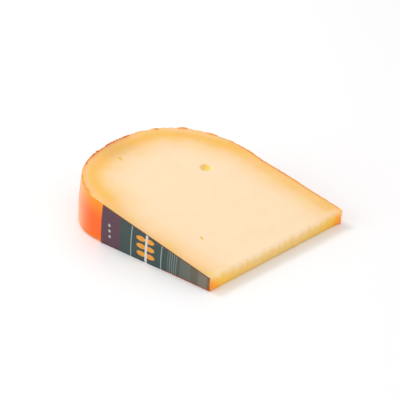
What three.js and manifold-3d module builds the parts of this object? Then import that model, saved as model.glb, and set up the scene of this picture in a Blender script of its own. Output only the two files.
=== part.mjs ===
// A slice of aged Gouda, cut from a wheel and lying on one of its two radial cuts, with the strip of
// label that the knife took with it. Millimetres, +Z up. The wheel's axis is level and runs along Y.
// The rim faces -X, the trimmed tip +X, the labelled flat side of the wheel -Y and the bare one +Y.
// The origin is the middle of the bounding box's base.
import * as THREE from "three";
import { mergeVertices } from "three/addons/utils/BufferGeometryUtils.js";
import Module from "manifold-3d";

// The wheel that the slice comes from
const WHEEL_RADIUS = 175;
const WHEEL_HEIGHT = 115.6;
const RIM_APEX = 56.6; // from the labelled side to where the rim is widest
const LABEL_SIDE_ROUNDING = 45.4; // how far in from the rim each flat side starts to round
const BARE_SIDE_ROUNDING = 61.7;
const RIM_FULLNESS = 2.45; // exponents of the rim's superellipse, radial and along the axis
const RIM_SHOULDER = 2.21;

// The cuts
const SLICE_ANGLE = THREE.MathUtils.degToRad(11.49);
const TIP_TRIM = 43.6; // from the wheel's axis to where the thin tip is cut off
const TIP_SKEW = 1.7; // how much further in the tip's cut ends at the bare side
const TIP_LEAN = 1.3; // how far the top of the tip's cut leans out
const TIP_EDGE_RADIUS = 2.2; // the soft top edge of the tip's cut
const RIPPLE_PITCH = 5.6; // the knife's waves across the tip's cut
const RIPPLE_HEIGHT = 0.35;

// The eyes: place on a cut face as distance from the wheel's axis and from the labelled side,
// the lengths of the opening's two axes, its turn on the face, and its depth
const TOP_EYES = [
  { radius: 122.7, across: 78.8, length: 7.8, width: 7.0, turn: -46, depth: 2.8 },
  { radius: 158.1, across: 42.2, length: 3.6, width: 2.4, turn: 0, depth: 1.4 },
  { radius: 73.3, across: 24.3, length: 4.2, width: 1.6, turn: -24, depth: 1.4 },
];
const BOTTOM_EYES = [
  { radius: 98.0, across: 69.0, length: 5.2, width: 4.4, turn: 70, depth: 2.2 },
  { radius: 146.0, across: 84.0, length: 3.0, width: 2.4, turn: 15, depth: 1.4 },
];

// Slivers of the coating that the knife lifted along the rim's top edge: middle and length along
// the wheel's axis, height above the cut
const SLIVERS = [
  { across: 97.8, length: 4.4, height: 1.1 },
  { across: 107.4, length: 4.4, height: 0.8 },
  { across: 84.0, length: 3.4, height: 0.5 },
  { across: 37.0, length: 4.2, height: 0.6 },
];
const SLIVER_WIDTH = 1.6;

// The label, glued on the coating and cut through with the cheese
const LABEL_RADIUS = 130.5; // its round outer edge, from the wheel's axis
const LABEL_THICKNESS = 0.4;
const LABEL_LIFT = 0.6; // the line of coating left bare under it
const GLUE_GAP = 0.3;

// How finely the shapes are divided
const WHEEL_SEGMENTS = 220;
const RIM_SEGMENTS = 20;
const CUT_STEPS = 84;
const OVERREACH = 12; // how far a cutting shape runs past what it cuts

const LABEL_SIDE = -WHEEL_HEIGHT / 2;
const BARE_SIDE = WHEEL_HEIGHT / 2;
const CHEESE_SIDE = LABEL_SIDE + LABEL_THICKNESS + GLUE_GAP;

// The box runs from the rim on the lower cut to the leaning top edge of the tip
const AXIS_X = (WHEEL_RADIUS + TIP_TRIM - TIP_LEAN) / 2;
const TIP_X = AXIS_X - TIP_TRIM;

const COATING_COLOUR = 0xf98a3c;
const LABEL_COLOUR = 0x4a5856;

const wasm = await Module();
wasm.setup();

function solid(geometry) {
  const bare = geometry.clone();
  bare.deleteAttribute("normal");
  bare.deleteAttribute("uv");
  const merged = mergeVertices(bare, 1e-4);
  return new wasm.Manifold(
    new wasm.Mesh({
      numProp: 3,
      vertProperties: merged.attributes.position.array,
      triVerts: new Uint32Array(merged.index.array),
    })
  );
}

function geometryOf(manifold) {
  const mesh = manifold.getMesh();
  const geometry = new THREE.BufferGeometry();
  geometry.setAttribute("position", new THREE.BufferAttribute(mesh.vertProperties, 3));
  geometry.setIndex(new THREE.BufferAttribute(mesh.triVerts, 1));
  geometry.computeVertexNormals();
  return geometry;
}

// The wheel's radius at a distance from its labelled side
function rimRadius(across) {
  const labelHalf = across < RIM_APEX;
  const reach = labelHalf ? RIM_APEX : WHEEL_HEIGHT - RIM_APEX;
  const rounding = labelHalf ? LABEL_SIDE_ROUNDING : BARE_SIDE_ROUNDING;
  const away = Math.min(Math.abs(across - RIM_APEX) / reach, 1);
  return WHEEL_RADIUS - rounding + rounding * (1 - away ** RIM_SHOULDER) ** (1 / RIM_FULLNESS);
}

// The wheel, turned about its axis: the profile starts and ends on the axis. Its stations close up
// towards both flat sides, where the rim turns fastest.
function wheel() {
  const profile = [new THREE.Vector2(0, LABEL_SIDE)];
  for (const [from, to] of [[0, RIM_APEX], [RIM_APEX, WHEEL_HEIGHT]]) {
    for (let i = 0; i < RIM_SEGMENTS; i++) {
      const t = i / RIM_SEGMENTS;
      const closing = from === 0 ? 1 - Math.cos((t * Math.PI) / 2) : Math.sin((t * Math.PI) / 2);
      const across = from + (to - from) * closing;
      profile.push(new THREE.Vector2(rimRadius(across), LABEL_SIDE + across));
    }
  }
  profile.push(new THREE.Vector2(rimRadius(WHEEL_HEIGHT), BARE_SIDE));
  profile.push(new THREE.Vector2(0, BARE_SIDE));
  return solid(new THREE.LatheGeometry(profile, WHEEL_SEGMENTS).translate(AXIS_X, 0, 0));
}

// The knife's waves across the tip's cut, uneven as a hand makes them
function ripple(y) {
  const wave = (y / RIPPLE_PITCH) * 2 * Math.PI;
  return (RIPPLE_HEIGHT / 2) * (Math.sin(wave + 1.3 * Math.sin(wave / 4.6)) + 0.6 * Math.sin(wave / 2.7));
}

// The space between the cuts, drawn from the side and drawn out along Y. The steps along it carry
// the tip's skew and the knife's waves.
function slice() {
  const slope = Math.tan(SLICE_ANGLE);
  const far = AXIS_X - WHEEL_RADIUS - OVERREACH;
  const topZ = (x) => (AXIS_X - x) * slope;
  const topX = TIP_X + TIP_LEAN;
  const cut = new THREE.Shape();
  cut.moveTo(far, 0);
  cut.lineTo(TIP_X, 0);
  const edge = TIP_EDGE_RADIUS;
  const lean = TIP_LEAN / topZ(topX);
  cut.lineTo(topX - edge * lean, topZ(topX) - edge);
  cut.quadraticCurveTo(topX, topZ(topX), topX - edge, topZ(topX - edge));
  cut.lineTo(far, topZ(far));
  cut.closePath();
  const length = WHEEL_HEIGHT + 2 * OVERREACH;
  const drawn = new THREE.ExtrudeGeometry(cut, {
    depth: length,
    steps: CUT_STEPS,
    bevelEnabled: false,
    curveSegments: 5,
  });
  drawn.rotateX(Math.PI / 2).translate(0, length / 2, 0);
  const position = drawn.attributes.position;
  for (let i = 0; i < position.count; i++) {
    const x = position.getX(i);
    const y = position.getY(i);
    if (x > TIP_X - 2 * edge) {
      const skew = (TIP_SKEW * (y - LABEL_SIDE)) / WHEEL_HEIGHT;
      position.setX(i, x - skew + ripple(y));
    }
  }
  return solid(drawn);
}

// One eye: an egg sunk into a cut face, so that what shows is its round mouth and bowl
function eye({ radius, across, length, width, turn, depth }, angle, up) {
  const sunk = 0.3 * depth;
  const mouth = Math.sqrt(1 - (sunk / depth) ** 2);
  const egg = new THREE.SphereGeometry(1, 16, 10);
  egg.scale(length / 2 / mouth, width / 2 / mouth, depth);
  egg.rotateZ(THREE.MathUtils.degToRad(turn));
  egg.translate(-radius, LABEL_SIDE + across, -up * sunk);
  egg.rotateY(angle);
  return solid(egg.translate(AXIS_X, 0, 0));
}

// One sliver of coating, standing on the rim's top edge and following it
function sliver({ across, length, height }) {
  const near = rimRadius(across - length / 2);
  const far = rimRadius(across + length / 2);
  const blade = new THREE.SphereGeometry(1, 10, 6);
  blade.scale(SLIVER_WIDTH / 2, Math.hypot(length, far - near) / 2, height * 1.6);
  blade.rotateZ(Math.atan2(far - near, length));
  blade.translate(-(near + far) / 2 + SLIVER_WIDTH / 4, LABEL_SIDE + across, -height * 0.6);
  blade.rotateY(SLICE_ANGLE);
  return solid(blade.translate(AXIS_X, 0, 0));
}

// What stands past a plane across Y, as a block that cuts it off
function labelRecess() {
  const depth = CHEESE_SIDE - LABEL_SIDE;
  const block = new THREE.BoxGeometry(2 * WHEEL_RADIUS, OVERREACH + depth, 2 * WHEEL_RADIUS);
  return solid(block.translate(0, CHEESE_SIDE - (OVERREACH + depth) / 2, 0));
}

function cheeseGeometry() {
  let body = wheel().intersect(slice()).subtract(labelRecess());
  for (const sunken of TOP_EYES) {
    body = body.subtract(eye(sunken, SLICE_ANGLE, 1));
  }
  for (const sunken of BOTTOM_EYES) {
    body = body.subtract(eye(sunken, 0, -1));
  }
  for (const lifted of SLIVERS) {
    body = body.add(sliver(lifted));
  }
  return geometryOf(body);
}

// The label's strip: the part of a round label that lies between the two cuts
function labelGeometry() {
  const low = LABEL_LIFT;
  const tipX = TIP_X + TIP_LEAN / 2 - GLUE_GAP;
  const outline = new THREE.Shape();
  outline.moveTo(tipX, low);
  outline.lineTo(tipX, (AXIS_X - tipX) * Math.tan(SLICE_ANGLE));
  outline.absarc(AXIS_X, 0, LABEL_RADIUS, Math.PI - SLICE_ANGLE, Math.PI - Math.asin(low / LABEL_RADIUS), false);
  outline.closePath();
  const strip = new THREE.ExtrudeGeometry(outline, {
    depth: LABEL_THICKNESS,
    bevelEnabled: false,
    curveSegments: 16,
  });
  strip.rotateX(Math.PI / 2).translate(0, LABEL_SIDE + LABEL_THICKNESS, 0);
  return geometryOf(solid(strip));
}

const cheese = new THREE.Mesh(
  cheeseGeometry(),
  new THREE.MeshStandardMaterial({ color: COATING_COLOUR, roughness: 0.5, metalness: 0 })
);
cheese.name = "cheese";

const label = new THREE.Mesh(
  labelGeometry(),
  new THREE.MeshStandardMaterial({ color: LABEL_COLOUR, roughness: 0.6, metalness: 0 })
);
label.name = "label";

const gouda = new THREE.Group();
gouda.add(cheese, label);

export default gouda;
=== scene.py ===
"""A slice of Gouda on a pale studio floor: the cut cheese in its orange coating, and the label strip on it."""

import math

import bpy
import numpy as np
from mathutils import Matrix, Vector, noise
from mathutils.geometry import delaunay_2d_cdt


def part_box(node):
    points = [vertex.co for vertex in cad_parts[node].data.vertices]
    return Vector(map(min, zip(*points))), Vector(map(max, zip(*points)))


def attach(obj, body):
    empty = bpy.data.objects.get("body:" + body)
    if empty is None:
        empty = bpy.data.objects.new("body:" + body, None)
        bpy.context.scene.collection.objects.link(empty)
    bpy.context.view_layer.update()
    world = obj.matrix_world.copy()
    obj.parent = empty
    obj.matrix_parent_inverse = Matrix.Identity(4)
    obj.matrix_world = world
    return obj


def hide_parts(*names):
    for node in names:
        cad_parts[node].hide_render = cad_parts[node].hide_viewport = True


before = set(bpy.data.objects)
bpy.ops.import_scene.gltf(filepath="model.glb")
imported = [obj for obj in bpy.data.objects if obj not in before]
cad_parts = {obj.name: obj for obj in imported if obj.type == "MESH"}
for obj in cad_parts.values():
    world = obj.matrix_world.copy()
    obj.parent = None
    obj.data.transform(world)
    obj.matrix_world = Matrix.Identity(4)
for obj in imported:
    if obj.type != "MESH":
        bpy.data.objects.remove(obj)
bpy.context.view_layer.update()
CHEESE_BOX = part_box("cheese")
LABEL_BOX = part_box("label")

bl_info = {
    "name": "Gouda Slice",
    "version": (1, 0, 0),
    "blender": (4, 5, 0),
    "location": "3D View > Sidebar > Gouda",
    "description": "Builds a slice of coated Gouda with its label strip, floor, lights and camera",
    "category": "Object",
}

MM = 0.001

# The wheel and its cuts, in millimetres, as the frame's solids have them
WHEEL_RADIUS = 175.0
WHEEL_HEIGHT = 115.6
RIM_APEX = 56.6
LABEL_SIDE_ROUNDING = 45.4
BARE_SIDE_ROUNDING = 61.7
RIM_FULLNESS = 2.45
RIM_SHOULDER = 2.21
SLICE_ANGLE = math.radians(11.49)
TIP_TRIM = 43.6
TIP_SKEW = 1.7
TIP_LEAN = 1.3
AXIS_X = CHEESE_BOX[0][0] / MM + WHEEL_RADIUS
LABEL_Y = LABEL_BOX[0][1] / MM
SKIN_INSET = 0.45  # the coating lies this far inside the label's outer face
LABEL_RADIUS = 130.1

# The eyes on the two cuts: distance from the wheel's axis and from the labelled side, the two axes
# of the mouth, its turn in degrees, and the depth
TOP_EYES = (
    (122.7, 78.9, 7.6, 7.8, -46, 1.8),
    (158.1, 42.2, 3.6, 2.4, 0, 1.0),
    (73.3, 24.3, 4.2, 1.6, -24, 0.9),
)
BOTTOM_EYES = (
    (98.0, 69.0, 5.2, 4.4, 70, 2.0),
    (146.0, 84.0, 3.0, 2.4, 15, 1.3),
)

# Slivers of coating that the knife lifted: middle and length along the wheel's axis, height, and how
# thin they are, so that light shows through
SLIVERS = (
    (98.2, 5.8, 1.1, 1.0),
    (109.2, 4.0, 0.8, 0.2),
    (84.0, 3.4, 0.5, 0.6),
    (37.0, 4.2, 0.6, 0.0),
)

# Larger dark crumbs on the torn edge: distance from the wheel's axis and from the labelled side
DARK_FLAKES = (
    (171.5, 35.4),
    (173.2, 44.4),
    (170.0, 31.6),
)

# Where oil has gathered beside the label: distance from the wheel's axis and from the labelled side,
# and strength
OILY_SPOTS = (
    (47.2, 3.3, 0.75),
    (79.7, 2.6, 0.5),
)


def linear(hex_colour):
    """An sRGB hex value as linear red, green and blue."""
    channels = [(hex_colour >> shift & 255) / 255 for shift in (16, 8, 0)]
    return tuple(c / 12.92 if c <= 0.04045 else ((c + 0.055) / 1.055) ** 2.4 for c in channels)


def smooth(value, low, high):
    """0 up to low, 1 from high, and an even curve between them."""
    t = np.clip((np.asarray(value, float) - low) / (high - low), 0, 1)
    return t * t * (3 - 2 * t)


def colour_property(name, description, hex_colour):
    return bpy.props.FloatVectorProperty(
        name=name, description=description, default=linear(hex_colour), subtype="COLOR", size=3, min=0, max=1
    )


def size_property(name, description, default):
    return bpy.props.FloatProperty(name=name, description=description, default=default * MM, unit="LENGTH", precision=5)


class GoudaCheeseSettings(bpy.types.PropertyGroup):
    """Sizes and colours of the cut cheese and its coating"""

    edge_radius: size_property("Edge radius", "Rounding of the crisp edges that the knife left", 0.25)
    torn_edge_radius: size_property("Torn edge radius", "Rounding of the edge where the coating tore", 0.85)
    tip_edge_radius: size_property("Tip edge radius", "Rounding of the soft top edge of the trimmed tip", 1.6)
    ripple_pitch: size_property("Ripple pitch", "Distance between the knife's waves on the trimmed tip", 6.6)
    ripple_height: size_property("Ripple height", "Height of the knife's waves", 0.45)
    coat_waviness: size_property("Coating waviness", "How far the coated rim swells and sinks", 0.25)
    coat_lip: size_property("Coating lip", "How far the torn coating stands up past the far cut", 0.8)
    flake_size: size_property("Flake size", "Size of the crumbs of coating along the torn edge", 0.32)
    flake_count: bpy.props.IntProperty(name="Flakes", description="Number of crumbs of coating", default=46, min=1, max=300)
    heart: colour_property("Heart", "The pale paste in the middle of a cut", 0xF8DBB5)
    under_rind: colour_property("Under the rind", "The drier, deeper paste inside the rind", 0xF4BC5D)
    stained: colour_property("Stained", "The paste that the coating has tinted", 0xE8A060)
    trimmed: colour_property("Trimmed tip", "The older cut at the tip", 0xE7C06C)
    trimmed_side: colour_property("Trimmed side", "The tip's cut a little way in from the rind", 0xF2BD38)
    trimmed_end: colour_property("Trimmed end", "The tip's cut beside the rind", 0xFF9A16)
    eye: colour_property("Eye", "The skin inside an eye", 0xF4D170)
    coating: colour_property("Coating", "The orange coating", 0xFF6408)
    # Painted highlight: a pale colour laid on the coating where the rim turns away, standing in for the grazing
    # reflection seen there
    coating_painted_highlight: colour_property("Coating shoulder", "The coating where the rim turns", 0xFFAC7C)
    coating_edge: colour_property("Coating edge", "The coating near the upper cut", 0xFF9204)
    coating_line: colour_property("Coating line", "The cut edge of the coating", 0xD07A22)
    coating_torn: colour_property("Torn coating", "The coating's torn edge, dark with handling", 0xC45A18)
    coating_thin: colour_property("Thin coating", "The coating where it is thin and light shows through", 0xE49824)


class GoudaLabelSettings(bpy.types.PropertyGroup):
    """Sizes and colours of the printed label strip"""

    thickness: size_property("Thickness", "Thickness of the paper with its glue", 0.25)
    border_width: size_property("Border width", "Width of the aubergine border", 15.5)
    border: colour_property("Border", "Aubergine border", 0x563844)
    field: colour_property("Field", "Dark green field", 0x344745)
    field_end: colour_property("Field end", "Olive end of the field", 0x6A604C)
    gold: colour_property("Gold", "Gold of the leaves", 0xE0962F)
    rule: colour_property("Rules", "Pale rules and dots", 0xA8B2AA)
    bar: colour_property("Bar", "Pale bar between the leaves", 0xD2CCCA)
    # Painted shade: the two brown edges stand in for the shade on the label's cut end and its upper edge
    cut_end_shade: colour_property("Cut end", "The label's brown cut end beside the tip", 0x86552C)
    cut_edge_shade: colour_property("Cut edge", "The label's brown edge along the upper cut", 0x6C4226)


class GoudaStudioSettings(bpy.types.PropertyGroup):
    """Floor, lights and camera"""

    floor: colour_property("Floor", "Pale studio floor", 0xF8F7F7)
    sky: bpy.props.FloatProperty(name="Sky", description="Strength of the even light", default=0.785, min=0)
    key: bpy.props.FloatProperty(name="Key", description="Power of the light at the left", default=4.6, min=0, unit="POWER")
    fill: bpy.props.FloatProperty(name="Fill", description="Power of the light in front", default=3.0, min=0, unit="POWER")
    low: bpy.props.FloatProperty(name="Low", description="Power of the low light at the tip", default=3.15, min=0, unit="POWER")
    lens: bpy.props.FloatProperty(name="Lens", description="Focal length in millimetres", default=187.78, min=1)
    distance: size_property("Distance", "From the camera to what it looks at", 1263.4)
    azimuth: bpy.props.FloatProperty(
        name="Azimuth", description="Turn of the camera about Z", default=math.radians(43.38), subtype="ANGLE"
    )
    elevation: bpy.props.FloatProperty(
        name="Elevation", description="Height of the camera as an angle", default=math.radians(26.31), subtype="ANGLE"
    )


def add(tree, kind, inputs=None, stops=None, **settings):
    """Adds a node to a tree. inputs maps its sockets to values or to the outputs that feed them."""
    node = tree.nodes.new(kind)
    for name, value in settings.items():
        setattr(node, name, value)
    for socket, value in (inputs or {}).items():
        if isinstance(value, bpy.types.NodeSocket):
            tree.links.new(value, node.inputs[socket])
        else:
            node.inputs[socket].default_value = value
    for place, (position, colour) in enumerate(stops or ()):
        elements = node.color_ramp.elements
        element = elements[place] if place < len(elements) else elements.new(position)
        element.position = position
        element.color = (*colour[:3], 1.0)
    return node


def new_material(name):
    """A material with an empty tree and its surface shader: the tree and the shader."""
    material = bpy.data.materials.new(name)
    material.use_nodes = True
    tree = material.node_tree
    tree.nodes.clear()
    shader = add(tree, "ShaderNodeBsdfPrincipled")
    add(tree, "ShaderNodeOutputMaterial", {"Surface": shader.outputs["BSDF"]})
    return material, tree, shader


# The outline of the slice, seen along its cuts


def rim_radius(across):
    """The wheel's radius at a distance from its labelled side."""
    across = np.asarray(across, float)
    label_half = across < RIM_APEX
    reach = np.where(label_half, RIM_APEX, WHEEL_HEIGHT - RIM_APEX)
    rounding = np.where(label_half, LABEL_SIDE_ROUNDING, BARE_SIDE_ROUNDING)
    away = np.minimum(np.abs(across - RIM_APEX) / reach, 1)
    return WHEEL_RADIUS - rounding + rounding * (1 - away**RIM_SHOULDER) ** (1 / RIM_FULLNESS)


def tip_radius(across, angle):
    """Distance from the wheel's axis to the tip's leaning, slightly skewed cut."""
    lean = TIP_LEAN * np.tan(angle) / math.tan(SLICE_ANGLE)
    return (TIP_TRIM - lean + TIP_SKEW * across / WHEEL_HEIGHT) / np.cos(angle)


def outline(stations=780, step=0.05, corner=1.2):
    """The slice's outline at half the angle: stations, their inward normals and how far each may be inset."""
    middle = SLICE_ANGLE / 2
    low, high = SKIN_INSET, WHEEL_HEIGHT
    swing = np.linspace(0, math.pi, 3000)
    rim_across = low + (high - low) * (1 - np.cos(swing)) / 2
    corners = [
        np.column_stack((rim_radius(rim_across), rim_across)),
        np.array([[tip_radius(high, middle), high]]),
        np.array([[tip_radius(low, middle), low]]),
    ]
    path = np.vstack(corners + [corners[0][:1]])
    lengths = np.concatenate(([0], np.cumsum(np.hypot(*np.diff(path, axis=0).T))))
    count = int(lengths[-1] / step)
    even = np.linspace(0, lengths[-1], count, endpoint=False)
    dense = np.column_stack([np.interp(even, lengths, path[:, k]) for k in (0, 1)])
    on_bare = dense[:, 1] > RIM_APEX
    dense[:, 1] -= 0.8 * np.exp(-(((dense[:, 0] - 107) / 9) ** 2)) * on_bare
    dense[:, 0] -= 0.6 * smooth(dense[:, 1], 108, 115) * (dense[:, 0] < 60)
    dense[:, 1] -= 0.5 * smooth(dense[:, 1], 105, 115) * (1 - smooth(dense[:, 0], 43, 49))
    dense[:, 0] += 0.3 * np.exp(-(((dense[:, 1] - 88) / 14) ** 2)) * (dense[:, 0] > 120)
    width = int(corner / step)
    kernel = np.hanning(2 * width + 3)[1:-1]
    kernel /= kernel.sum()
    padded = np.vstack((dense[-width:], dense, dense[:width]))
    dense = np.column_stack([np.convolve(padded[:, k], kernel, "valid") for k in (0, 1)])
    ahead = np.roll(dense, -1, 0) - np.roll(dense, 1, 0)
    heading = np.unwrap(np.arctan2(ahead[:, 1], ahead[:, 0]))
    turning = np.abs(np.gradient(heading))
    crowding = np.concatenate(([0], np.cumsum(step + 1.5 * turning)))[:-1]
    marks = np.linspace(0, crowding[-1], stations, endpoint=False)
    points = np.column_stack([np.interp(marks, crowding, dense[:, k]) for k in (0, 1)])
    facing = np.interp(marks, crowding, heading) + math.pi / 2
    inward = np.column_stack((np.cos(facing), np.sin(facing)))
    tightness = np.interp(marks, crowding, turning) / step
    room = 0.5 / np.maximum(tightness, 0.1)
    for shift in (-4, -3, -2, -1, 1, 2, 3, 4):
        room = np.minimum(room, np.roll(room, shift) + 0.03 * abs(shift))
    return points, inward, room


def place(radius, across, angle):
    """Points of the wheel, given about its axis, in the part's frame and in metres."""
    x = AXIS_X - radius * np.cos(angle)
    return np.column_stack((x, LABEL_Y + across, radius * np.sin(angle))) * MM


def noise_at(points, scale, seed=0.0, octaves=2):
    """Smooth noise from about -1 to 1 at points, with features of about scale."""
    shift = Vector((seed * 17.3, seed * 5.1, seed * 9.7))
    return np.array([noise.fractal(Vector(p) / scale + shift, 0.8, 2.0, octaves) for p in points])


class Skin:
    """What is known of each vertex of the slice, gathered as the mesh is built."""

    def __init__(self):
        self.columns = {name: [] for name in ("radius", "across", "height", "tip", "eye")}

    def add(self, **values):
        for name, held in self.columns.items():
            held.append(values[name])

    def stacked(self, name):
        return np.concatenate(self.columns[name])


def eye_profile(steps=9):
    """An eye's section from its middle to the flat round it: plan ring, real ring and depth, as shares."""
    rows = [(0.001, 0.001, 1.0)]
    for i in range(1, steps + 1):
        share = i / steps
        rows.append((0.94 * share, 0.97 * share**0.85, 0.1 + 0.9 * math.cos(math.pi / 2 * share) ** 0.8))
    rows += [(0.97, 1.0, 0.05), (1.0, 1.025, 0.02), (1.06, 1.07, 0.005), (1.16, 1.16, 0.0), (1.32, 1.32, 0.0)]
    return rows


def eye_points(eye, sectors=30):
    """Plan places, real places, depths and shares of an eye's rings on its cut."""
    radius, across, length, width, turn, depth = eye
    turn = math.radians(turn)
    plan, real, sunk, inside = [], [], [], []
    for ring, (plan_share, real_share, depth_share) in enumerate(eye_profile()):
        for k in range(sectors if ring else 1):
            swing = 2 * math.pi * (k + 0.5 * (ring % 2)) / sectors
            wobble = 1 + 0.05 * math.sin(2 * swing + radius) + 0.06 * math.sin(3 * swing + across)
            a, b = math.cos(swing) * length / 2 * wobble, math.sin(swing) * width / 2 * wobble
            along, over = a * math.cos(turn) - b * math.sin(turn), a * math.sin(turn) + b * math.cos(turn)
            plan.append((radius - along * plan_share, across + over * plan_share))
            lean = 0.06 * width * depth_share
            real.append((radius - along * real_share + lean, across + over * real_share + lean))
            sunk.append(depth * depth_share)
            away = (over - along) * plan_share / max(length, width)
            inside.append(float(smooth(depth_share, 0.03, 0.75 - 0.6 * away)))
    return np.array(plan), np.array(real), np.array(sunk), np.array(inside)


def cap(boundary, inward, eyes, spacing=1.7):
    """Fills a cut: the boundary's own points come first, then rings that follow it, eyes and an even field."""
    plan = [boundary]
    for inset in (0.5, 1.1, 1.9, 3.0):
        ring = (boundary + inward * inset)[::2 if inset > 1 else 1]
        gap = np.sqrt(((ring[:, None] - boundary[None]) ** 2).sum(2)).min(1)
        plan.append(ring[gap > 0.93 * inset])
    low, high = boundary.min(0), boundary.max(0)
    rows = np.arange(low[1] + spacing, high[1], spacing * 0.866)
    field = [
        (x, y)
        for n, y in enumerate(rows)
        for x in np.arange(low[0] + spacing * (0.5 if n % 2 else 1.0), high[0], spacing)
    ]
    field = np.array(field)
    gap = np.sqrt(((field[:, None] - boundary[None, ::3]) ** 2).sum(2))
    nearest = gap.argmin(1)
    inner = ((field - boundary[::3][nearest]) * inward[::3][nearest]).sum(1) > 0
    field = field[inner & (gap.min(1) > 3.9)]
    for eye in eyes:
        reach = max(eye[2], eye[3]) / 2 * 1.45 + 0.5
        field = field[np.hypot(field[:, 0] - eye[0], field[:, 1] - eye[1]) > reach]
    plan.append(field)
    plan = np.vstack(plan)
    real, sunk, inside = plan.copy(), np.zeros(len(plan)), np.zeros(len(plan))
    for eye in eyes:
        eye_plan, eye_real, eye_sunk, eye_inside = eye_points(eye)
        plan, real = np.vstack((plan, eye_plan)), np.vstack((real, eye_real))
        sunk, inside = np.concatenate((sunk, eye_sunk)), np.concatenate((inside, eye_inside))
    loop = list(range(len(boundary)))
    made = delaunay_2d_cdt([Vector(p) for p in plan], [], [loop], 1, 1e-5)
    came_from = [origins[0] for origins in made[3]]
    faces = [tuple(came_from[v] for v in face) for face in made[2]]
    return real, sunk, inside, faces


def sliver_share(points):
    """1 in the middle of each sliver of lifted coating, 0 between them, the height and how thin each one is."""
    on_rim = smooth(points[:, 0], 118, 124)
    share, reach, thin = np.zeros((3, len(points)))
    for middle, length, rise, thinness in SLIVERS:
        blade = np.clip(1 - ((points[:, 1] - middle) / (length / 2)) ** 2, 0, 1) * on_rim
        share = np.maximum(share, blade)
        reach = np.maximum(reach, rise * np.sqrt(blade))
        thin = np.maximum(thin, thinness * np.clip(2 * blade, 0, 1))
    return share, reach, thin


def line_strength(points):
    """How clearly the coating's cut edge shows at each station of the outline, how red and how thin it is,
    and how pale the paste is beside it."""
    radius, across = points.T
    on_rim = smooth(radius, 108, 122)
    flat = np.interp(radius, (46, 50, 60, 80, 100, 122), (0.5, 0.7, 0.7, 0.9, 1.1, 1.2)) * (across > RIM_APEX)
    marks = (0.8, 1.6, 6, 11, 16, 26, 34, 60, 66, 75, 94, 103, 110, 115.6)
    round_rim = np.interp(across, marks, (0.2, 1.3, 1.5, 1.4, 1.1, 1.2, 1.1, 1.3, 0.6, 0.1, 0.05, 0.2, 0.3, 0.8))
    redness = np.interp(across, marks, (0, 0, 0, 0, 0.1, 0.3, 0.5, 0.5, 0.3, 0.3, 0.3, 0.4, 0.5, 0.5))
    strength = flat + (round_rim - flat) * on_rim
    blade, _, thin = sliver_share(points)
    thin = np.maximum(thin, np.interp(across, (0, 3, 8, 12, 18), (1.8, 1.4, 1.2, 1, 0)) * on_rim)
    lifted = np.clip(1.5 * blade, 0, 1)
    strength = np.maximum(strength, lifted)
    redness = redness * on_rim * (1 - lifted) + (1 - on_rim) * np.interp(radius, (46, 50, 62, 90), (0.1, 0.2, 0.4, 0.2))
    paleness = on_rim * np.interp(across, (26, 34, 58, 64, 84, 92, 110, 114), (0.4, 0.0, 0.0, 0.35, 0.35, 0.9, 1.0, 0.0))
    return strength, redness, paleness, thin


def lip_profile(points, tip, settings):
    """How far the torn coating stands up at each station, and the share of it that is torn at all."""
    across = points[:, 1]
    round_rim = np.interp(across, (8, 20, 34, 46, 51, 58, 67, 94, 103, 112), (0, 0.25, 0.4, 0.5, 0.9, 0.6, 0.5, 0.45, 0.5, 0.8))
    torn = round_rim * (1 - tip)
    rough = noise_at(np.column_stack((points, np.zeros(len(points)))), 4.5, 4, 4)
    height = settings.coat_lip / MM * torn * np.clip(0.4 + 1.5 * rough, 0.05, 1.6)
    height *= 0.4 + 0.6 * smooth(points[:, 0], 112, 130)
    height = np.maximum(height, 0.9 * sliver_share(points)[1] * (0.85 + 0.3 * rough))
    return height, torn


def drawn_back(points):
    """How far the rim's top edge is drawn back at each station, as a share of 0.4 mm."""
    return np.interp(points[:, 1], (1, 10, 30, 36, 44, 51), (0, 1, 1, 1.8, 1.5, 0.2)) * smooth(points[:, 0], 125, 140)


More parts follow.
